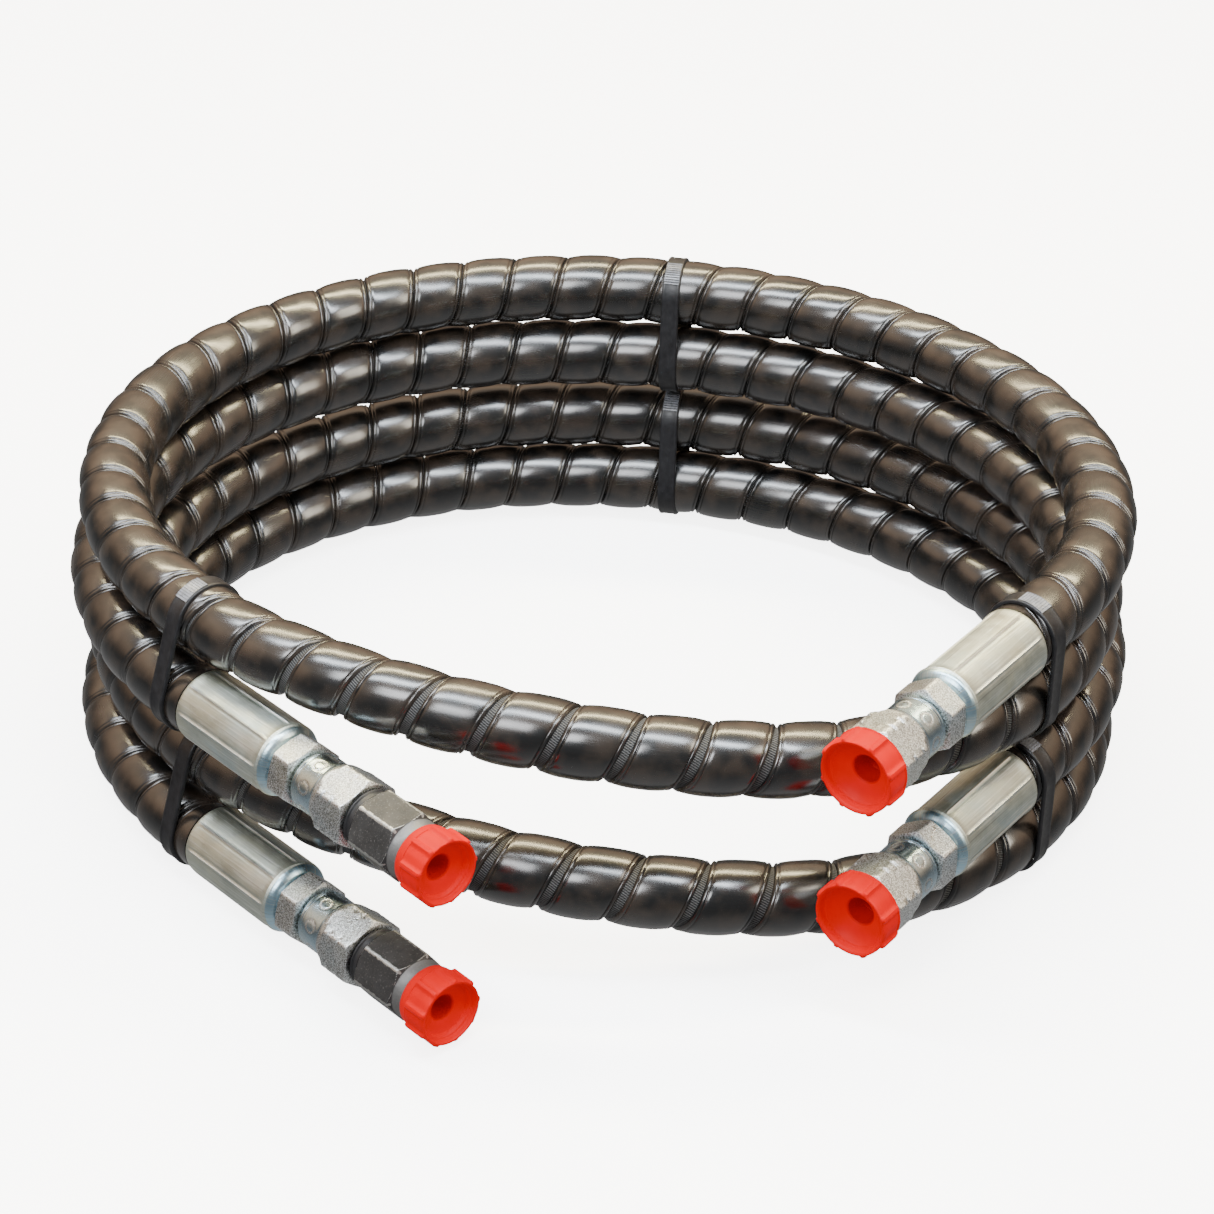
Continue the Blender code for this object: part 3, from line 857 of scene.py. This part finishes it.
def guard_material():
    """Black moulded strip: glossy, mottled brown, with faint lines across its width and a few scratches."""
    shader = Shader("guard_black_plastic", IOR=1.85)
    place = shader.place()
    cloud = shader.remap(shader.noise(place, 30.0, 3.0, 0.5), 0.35, 0.65)
    mottle = shader.remap(shader.noise(place, 105.0, 2.0, 0.5), 0.40, 0.62)
    colour = shader.mix(mottle, (0.0045, 0.0044, 0.0042), (0.026, 0.019, 0.014))
    lines = shader.noise(shader.uv((0.5, 700.0, 1.0)), 1.0, 2.0, 0.5)
    scratches = shader.remap(shader.noise(shader.uv((60.0, 90.0, 1.0)), 1.0, 4.0, 0.75, 1.5), 0.70, 0.73)
    colour = shader.mix(shader.times(scratches, 0.25), colour, (0.12, 0.11, 0.10))
    rough = shader.remap(lines, 0.30, 0.70, 0.20, 0.24)
    rough = shader.plus(rough, shader.times(cloud, 0.05))
    rough = shader.plus(rough, shader.times(scratches, 0.10))
    normal = shader.bump(shader.noise(place, 24.0, 1.0, 0.4), 0.0006, 0.20)
    normal = shader.bump(lines, 0.000006, 0.12, normal)
    normal = shader.bump(scratches, 0.00001, 0.15, normal)
    return shader.drive(Base_Color=colour, Roughness=rough, Normal=normal)


def weave_heights(shader, per_metre):
    """Two sets of slanting yarns from the UV map, as one height."""
    split = shader.node("ShaderNodeSeparateXYZ", {"Vector": shader.uv((1, 1, 1))})
    across, along = split.outputs[0], split.outputs[1]
    waves = []
    for slant in (0.55, -0.35):
        mixed = shader.plus(shader.times(across, per_metre), shader.times(along, per_metre * slant))
        waves.append(shader.maths("SINE", shader.times(mixed, 2 * math.pi)))
    return shader.maths("MAXIMUM", waves[0], shader.times(waves[1], 0.3))


def cover_material():
    """Grey-black rubber with the marks of the cloth it was wrapped in when it was cured."""
    shader = Shader("hose_cover_rubber", IOR=1.48)
    place = shader.place()
    weave = weave_heights(shader, 1000.0)
    worn = shader.remap(shader.noise(place, 60.0, 3.0, 0.6), 0.35, 0.7)
    base = shader.mix(worn, (0.010, 0.010, 0.011), (0.022, 0.022, 0.022))
    colour = shader.mix(shader.remap(weave, 0.3, 0.9), base, (0.11, 0.11, 0.107))
    rough = shader.remap(shader.noise(place, 300.0, 3.0, 0.6), 0.3, 0.7, 0.50, 0.72)
    normal = shader.bump(weave, 0.00025, 0.8)
    return shader.drive(Base_Color=colour, Roughness=rough, Normal=normal)


def zinc_material(name, tones, roughness, grain=0.0, streaks=0.0, tint=0.3):
    """Zinc plate.  tones are its dark and light greys, grain its forged grain, whose sparkle is painted as
    bright glints and its pits as painted shade, streaks its brushing, and tint the strength of its blue and
    yellow stains.

    Where its attribute of worn places and painted light is above 0 it is painted bright: rubbed on worn
    edges, and a painted highlight on the ferrules' raised lines. Below 0 it lies under a blue film.
    """
    shader = Shader(name, Metallic=1.0)
    place = shader.place()
    cloud = shader.noise(place, 55.0, 4.0, 0.6)
    film = shader.noise(place, 38.0, 2.0, 0.5, 0.6)
    colour = shader.mix(shader.remap(cloud, 0.3, 0.7), *tones)
    wear = shader.attribute("wear")
    blue = shader.plus(shader.remap(film, 0.52, 0.70, 0.0, tint), shader.remap(wear, 0.0, -1.0))
    colour = shader.mix(shader.maths("MINIMUM", blue, 0.85), colour, (0.40, 0.62, 0.76))
    colour = shader.mix(shader.remap(film, 0.46, 0.30, 0.0, tint), colour, (0.76, 0.72, 0.48))
    # rubbed bright on worn edges, and a painted highlight on the ferrules' raised lines
    colour = shader.mix(shader.remap(wear, 0.0, 1.0, 0.0, 0.85), colour, (0.93, 0.94, 0.92))
    dirt = shader.remap(shader.noise(place, 240.0, 5.0, 0.7), 0.56, 0.72)
    colour = shader.mix(shader.times(dirt, 0.35), colour, (0.28, 0.28, 0.27))
    rough = shader.remap(shader.noise(place, 170.0, 4.0, 0.65), 0.3, 0.7, roughness - 0.07, roughness + 0.07)
    rough = shader.plus(rough, shader.remap(wear, 0.0, -1.0, 0.0, -0.16))
    normal = shader.bump(shader.noise(place, 90.0, 2.0, 0.5), 0.0004, 0.2)
    if streaks:
        brushed = shader.noise(shader.uv((1500.0, 40.0, 1.0)), 1.0, 4.0, 0.65)
        normal = shader.bump(brushed, 0.00010, 0.7 * streaks, normal)
        colour = shader.mix(shader.remap(brushed, 0.50, 0.66, 0.0, 0.6 * streaks), colour, (0.86, 0.88, 0.84))
        dark = shader.remap(shader.noise(shader.uv((800.0, 16.0, 1.0)), 1.0, 3.0, 0.6), 0.58, 0.72)
        colour = shader.mix(shader.times(dark, 0.7 * streaks), colour, (0.26, 0.27, 0.25))
    if grain:
        # painted glints and painted shade: the grain's high points are painted near white as sparkle, its low
        # points darker as shade
        fine = shader.noise(place, 1900.0, 2.0, 0.7)
        normal = shader.bump(fine, 0.00022, shader.remap(wear, 0.0, -0.6, grain, 0.05), normal)
        bare = shader.remap(wear, 0.0, -0.6, 0.8 * grain, 0.1)
        painted_glints = shader.times(shader.remap(fine, 0.52, 0.58), bare)
        colour = shader.mix(painted_glints, colour, (0.95, 0.97, 0.98))
        painted_pit_shade = shader.times(shader.remap(fine, 0.48, 0.42), bare)
        colour = shader.mix(painted_pit_shade, colour, (0.20, 0.20, 0.19))
    return shader.drive(Base_Color=colour, Roughness=rough, Normal=normal)


def steel_material():
    """Blackened steel of the adapter: bright where "wear" is above 0, plainly turned where it is below."""
    shader = Shader("adapter_black_steel")
    place = shader.place()
    cloud = shader.remap(shader.noise(place, 80.0, 4.0, 0.6), 0.3, 0.7)
    colour = shader.mix(cloud, (0.034, 0.034, 0.034), (0.072, 0.071, 0.070))
    chips = shader.remap(shader.noise(place, 420.0, 4.0, 0.7), 0.3, 0.7, -0.30, 0.20)
    rubbed = shader.remap(shader.plus(shader.attribute("wear"), chips), 0.45, 0.68)
    colour = shader.mix(rubbed, colour, (0.44, 0.44, 0.42))
    colour = shader.mix(shader.remap(shader.attribute("wear"), 0.0, TURNED), colour, (0.17, 0.17, 0.165))
    fine = shader.noise(place, 1300.0, 2.0, 0.6)
    colour = shader.mix(shader.remap(fine, 0.60, 0.70, 0.0, 0.25), colour, (0.36, 0.35, 0.34))
    rough = shader.remap(shader.noise(place, 260.0, 4.0, 0.6), 0.3, 0.7, 0.40, 0.58)
    normal = shader.bump(shader.noise(place, 700.0, 4.0, 0.65), 0.00022, 0.8)
    return shader.drive(Base_Color=colour, Roughness=rough, Normal=normal,
                        Metallic=shader.remap(rubbed, 0.0, 1.0, 0.55, 1.0))


def red_material():
    """Bright red polyethylene, smooth and a little waxy, lifted evenly by a painted red emission as if lit;
    painted shade darkens it in the holes, where its attribute of worn places and painted light is below 0.
    """
    # painted light: the red emission brightens the plastic evenly, as if lit, and less so in the holes
    shader = Shader("cap_red_plastic", IOR=1.4, Specular_IOR_Level=0.14, Emission_Color=(1, 0, 0, 1))
    place = shader.place()
    cloud = shader.remap(shader.noise(place, 120.0, 3.0, 0.5), 0.3, 0.7)
    colour = shader.mix(cloud, (0.40, 0.0003, 0.0003), (0.46, 0.0004, 0.0004))
    # painted shade: inside the holes the red is darker, standing in for the shade there
    hole = shader.remap(shader.attribute("wear"), 0.0, PAINTED_HOLE_SHADE)
    colour = shader.mix(hole, colour, (0.30, 0.0002, 0.0002))
    painted_glow = shader.remap(hole, 0.0, 1.0, 0.34, 0.13)
    rough = shader.remap(shader.noise(place, 400.0, 3.0, 0.6), 0.3, 0.7, 0.40, 0.54)
    normal = shader.bump(shader.noise(place, 600.0, 3.0, 0.5), 0.00006, 0.4)
    return shader.drive(Base_Color=colour, Roughness=rough, Normal=normal, Emission_Strength=painted_glow)


def rubber_material(name, colour, roughness):
    """Smooth rubber or nylon with a little mottling: black, except the ties' ribs, whose lighter grey is a
    painted highlight.
    """
    shader = Shader(name, IOR=1.5)
    place = shader.place()
    cloud = shader.remap(shader.noise(place, 300.0, 4.0, 0.6), 0.3, 0.7)
    tinted = shader.mix(cloud, colour, tuple(channel * 1.8 + 0.004 for channel in colour))
    rough = shader.remap(shader.noise(place, 500.0, 3.0, 0.6), 0.3, 0.7, roughness - 0.06, roughness + 0.08)
    normal = shader.bump(shader.noise(place, 900.0, 3.0, 0.6), 0.00006, 0.5)
    return shader.drive(Base_Color=tinted, Roughness=rough, Normal=normal)


def braid_material():
    """Brass-coated braid wire, for the reinforcement inside the hose."""
    shader = Shader("braid_wire_coated", Metallic=1.0)
    waves = {"Vector": shader.place(), "Scale": 900.0, "Distortion": 1.0}
    strands = shader.node("ShaderNodeTexWave", waves).outputs["Fac"]
    colour = shader.mix(strands, (0.30, 0.26, 0.20), (0.60, 0.52, 0.38))
    rough = shader.remap(strands, 0.0, 1.0, 0.50, 0.30)
    return shader.drive(Base_Color=colour, Roughness=rough, Normal=shader.bump(strands, 0.0002, 0.6))


# --- stage ---

# The surroundings: their colours from straight down, 0, to straight up, 1, and the dim colour in front
WORLD_BANDS = [(0.0, (0.42, 0.42, 0.42)), (0.44, (0.10, 0.10, 0.10)), (0.54, (0.22, 0.16, 0.12)),
               (0.66, (0.72, 0.49, 0.33)), (0.76, (1.0, 0.74, 0.51)), (0.86, (0.45, 0.39, 0.34)),
               (1.0, (0.40, 0.42, 0.45))]
FRONT_COLOUR = (0.13, 0.135, 0.14)
WORLD_STRENGTH = 1.4
FLOOR_GLOW = 5.0
CAMERA_TARGET = Vector((0.0044, 0.0238, 0.0487))
CAMERA_ELEVATION = math.radians(31.6)
CAMERA_DISTANCE = 1.521
CAMERA_LENS = 112.7
LIGHTS_AIM = Vector((0, 0, 0.05))


def add_camera():
    """The camera in front of the object, a little above it."""
    data = bpy.data.cameras.new("camera")
    data.lens = CAMERA_LENS
    data.sensor_width = 36
    data.clip_start = 0.05
    camera = add_object("camera", data)
    back = Vector((0, -math.cos(CAMERA_ELEVATION), math.sin(CAMERA_ELEVATION)))
    camera.location = CAMERA_TARGET + back * CAMERA_DISTANCE
    camera.rotation_mode = "QUATERNION"
    camera.rotation_quaternion = (-back).to_track_quat("-Z", "Y")
    bpy.context.scene.camera = camera


def add_light(name, place, size, power, colour):
    data = bpy.data.lights.new(name, "AREA")
    data.shape = "RECTANGLE"
    data.size, data.size_y = size
    data.energy = power
    data.color = colour
    light = add_object(name, data)
    light.location = place
    light.rotation_mode = "QUATERNION"
    light.rotation_quaternion = (LIGHTS_AIM - Vector(place)).to_track_quat("-Z", "Y")


def add_floor():
    """A pale floor that glows, but is only seen by the camera."""
    bpy.ops.mesh.primitive_plane_add(size=30, location=(0, 0, -0.0002))
    floor = bpy.context.object
    floor.name = "floor"
    shader = Shader("floor_pale", Roughness=0.9, Specular_IOR_Level=0.1, Emission_Color=(1, 1, 1, 1),
                    Emission_Strength=FLOOR_GLOW)
    tone = shader.remap(shader.noise(shader.place(), 1.5, 2.0), 0.3, 0.7)
    colour = shader.mix(tone, (0.90, 0.90, 0.90), (0.92, 0.92, 0.92))
    floor.data.materials.append(shader.drive(Base_Color=colour))
    floor.visible_glossy = False
    floor.visible_diffuse = False


def add_world():
    """Warm surroundings behind the object, dim ones in front, and a pale ground, for soft reflections."""
    world = bpy.data.worlds.new("studio")
    bpy.context.scene.world = world
    world.use_nodes = True
    nodes = Nodes(world.node_tree)
    view = nodes.node("ShaderNodeTexCoord").outputs["Generated"]
    split = nodes.node("ShaderNodeSeparateXYZ", {0: view}).outputs
    ramp = nodes.node("ShaderNodeValToRGB", {0: nodes.remap(split[2], -1, 1)})
    stops = ramp.color_ramp.elements
    stops[0].color = (*WORLD_BANDS[0][1], 1)
    stops[1].color = (*WORLD_BANDS[-1][1], 1)
    for position, colour in WORLD_BANDS[1:-1]:
        stops.new(position).color = (*colour, 1)
    front = nodes.times(nodes.remap(split[1], -0.1, -0.6), nodes.remap(split[2], -0.3, 0.0))
    background = world.node_tree.nodes["Background"]
    nodes.feed(background.inputs[0], nodes.mix(front, ramp.outputs[0], FRONT_COLOUR))
    nodes.feed(background.inputs[1], WORLD_STRENGTH)


def add_stage():
    add_camera()
    add_floor()
    add_world()
    add_light("top", (-0.1, -0.25, 1.6), (2.2, 0.30), 60, (0.86, 0.93, 1.0))
    add_light("back", (0.1, 0.75, 1.35), (2.2, 0.16), 50, (1.0, 0.86, 0.52))
    add_light("front", (-0.7, -1.3, 1.5), (1.2, 0.7), 36, (0.95, 0.97, 1.0))
    add_light("right", (1.4, -0.7, 1.1), (0.5, 0.9), 16, (1.0, 0.93, 0.78))


# --- the object ---

# The dark and light greys of the zinc plate
FERRULE_TONES = ((0.46, 0.50, 0.44), (0.63, 0.67, 0.59))
FORGED_TONES = ((0.46, 0.48, 0.47), (0.66, 0.68, 0.67))


def make_materials():
    return {
        "guard": guard_material(),
        "cover": cover_material(),
        "ferrule": zinc_material("ferrule_zinc_plate", FERRULE_TONES, 0.46, streaks=1.0),
        "forged": zinc_material("forged_zinc_plate", FORGED_TONES, 0.34, grain=1.0),
        "steel": steel_material(),
        "red": red_material(),
        "seal": rubber_material("seal_black_rubber", (0.010, 0.010, 0.011), 0.42),
        "tie": rubber_material("tie_black_nylon", (0.006, 0.006, 0.007), 0.42),
        # painted highlight: the ribs' light grey stands in for the light that their serration catches; the
        # nylon itself is black
        "ribs": rubber_material("tie_black_nylon_ribs", (0.13, 0.135, 0.15), 0.26),
        "liner": rubber_material("liner_black_rubber", (0.016, 0.016, 0.016), 0.55),
        "braid": braid_material(),
    }


def add_assembly(prefix, route, looks):
    for side, rear, axis in (("left", route.left_rear, route.left), ("right", route.right_rear, route.right)):
        fitting = Fitting(rear, axis, prefix, side)
        add_ferrule(fitting, looks["ferrule"])
        add_stem(fitting, looks["forged"])
        add_nut(fitting, looks["forged"])
        if side == "left":
            add_adapter(fitting, looks["steel"], looks["seal"])
            add_cap(fitting, looks["red"])
        else:
            add_plug(fitting, looks["red"])
    add_guard(prefix, route, looks["guard"])
    add_hose(prefix, route, looks)
    for name in ("left", "back", "right"):
        add_tie(prefix, name, route, looks)


def main():
    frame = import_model()
    add_stage()
    shift = footprint_shift(frame["record"])
    looks = make_materials()
    for name, base in ASSEMBLIES.items():
        add_assembly(name + "_", Route(base, shift), looks)


main()
